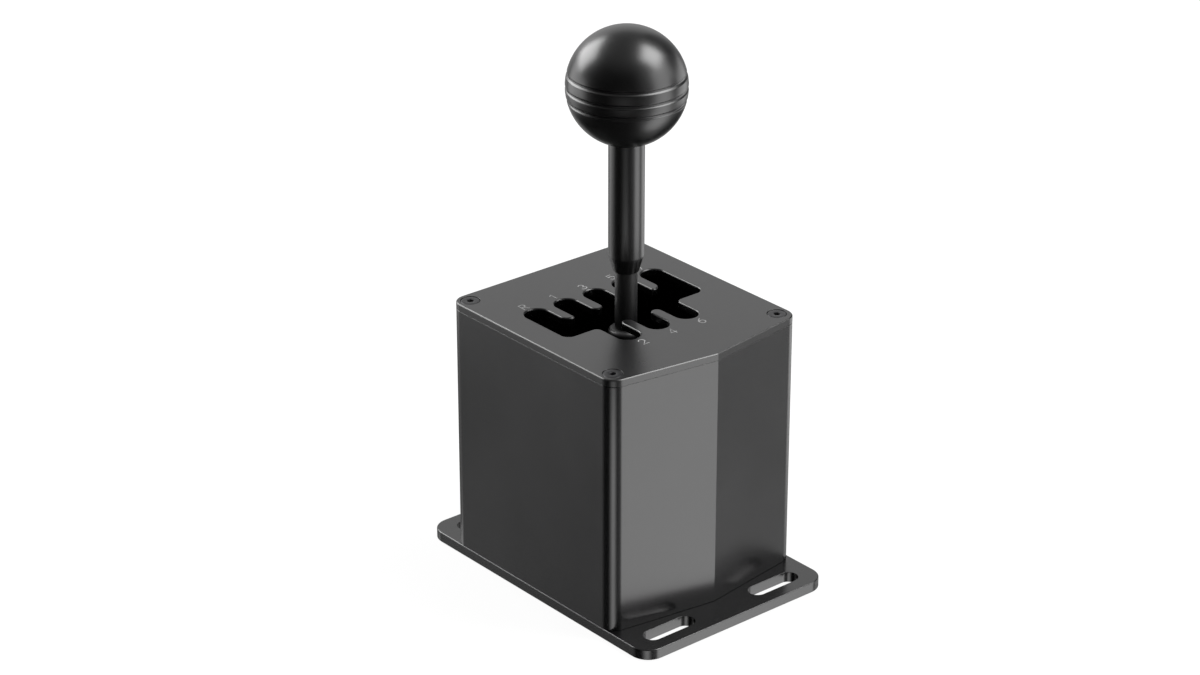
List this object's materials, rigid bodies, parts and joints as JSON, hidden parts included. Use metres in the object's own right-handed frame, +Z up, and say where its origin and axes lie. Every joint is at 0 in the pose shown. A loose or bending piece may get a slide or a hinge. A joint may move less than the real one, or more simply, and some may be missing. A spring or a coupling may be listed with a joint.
{
  "type": "sim racing gear shifter",
  "caption": "H-pattern gear shifter with a ball knob on a steel lever, a slotted gate cover on a box-shaped black housing with a ridged front, and a slotted base plate.",
  "frame": {"origin": "centre of the underside of the base plate, on the axis of the upright lever", "axes": "+X to the driver's right, +Y away from the driver (the ridged front faces -Y), +Z up along the lever"},
  "size_m": [0.101, 0.1444, 0.2422],
  "materials": {
    "black_anodised": "fine bead-blasted, black anodised",
    "black_screw_steel": "black oxide",
    "blackened_rod": "satin black oxide",
    "knob_black": "satin black anodised",
    "machined_aluminium": "grey anodised, machined",
    "ground_steel": "ground",
    "turned_brass": "turned",
    "circuit_board": "solder mask",
    "moulded_black": "moulded",
    "magnet_nickel": "nickel plated"
  },
  "bodies": {
    "root": {"base_plate": "black_anodised", "housing": "black_anodised", "top_cover": "black_anodised", "cover_screws": "black_screw_steel", "base_screws": "black_screw_steel", "pivot_bracket": "machined_aluminium", "bracket_screws": "black_screw_steel", "select_bearings": "ground_steel", "centring_springs": "ground_steel", "main_board": "circuit_board", "board_chips": "moulded_black", "select_sensor": "moulded_black", "cable_socket": "moulded_black"},
    "yoke": {"select_yoke": "machined_aluminium", "select_pins": "ground_steel", "thrust_washers": "turned_brass", "select_clips": "ground_steel", "select_magnet": "magnet_nickel", "shift_bearings": "ground_steel", "detent_cam": "machined_aluminium", "cam_screws": "black_screw_steel", "sensor_posts": "ground_steel", "sensor_board": "circuit_board", "shift_sensor": "moulded_black", "sensor_screws": "ground_steel"},
    "lever": {"lever_hub": "machined_aluminium", "cross_shaft": "ground_steel", "shaft_clips": "ground_steel", "shift_magnet": "magnet_nickel", "lever_rod": "blackened_rod", "rod_pin": "ground_steel", "rod_collar": "machined_aluminium", "collar_screw": "ground_steel", "handle_shaft": "black_anodised", "knob_stud": "ground_steel", "knob_insert": "turned_brass", "ball_knob": "knob_black", "plunger_sleeve": "turned_brass", "detent_spring": "ground_steel"},
    "detent": {"detent_plunger": "ground_steel"}
  },
  "joints": [
    {"name": "lane_select", "type": "hinge", "parent": "root", "child": "yoke", "pos_m": [0, 0, 0.038], "axis": [0, 1, 0], "range_deg": [-11.27, 11.27], "stiffness_Nm_per_rad": 2.5, "deforming": ["centring_springs"]},
    {"name": "gear_shift", "type": "hinge", "parent": "yoke", "child": "lever", "pos_m": [0, 0, 0.038], "axis": [1, 0, 0], "range_deg": [-13.3, 13.3]},
    {"name": "detent_slide", "type": "slide", "parent": "lever", "child": "detent", "axis": [0, 0, -1], "range_m": [0, 0.0011], "stiffness_N_per_m": 1500, "springref_m": 0.004, "deforming": ["detent_spring"]}
  ]
}
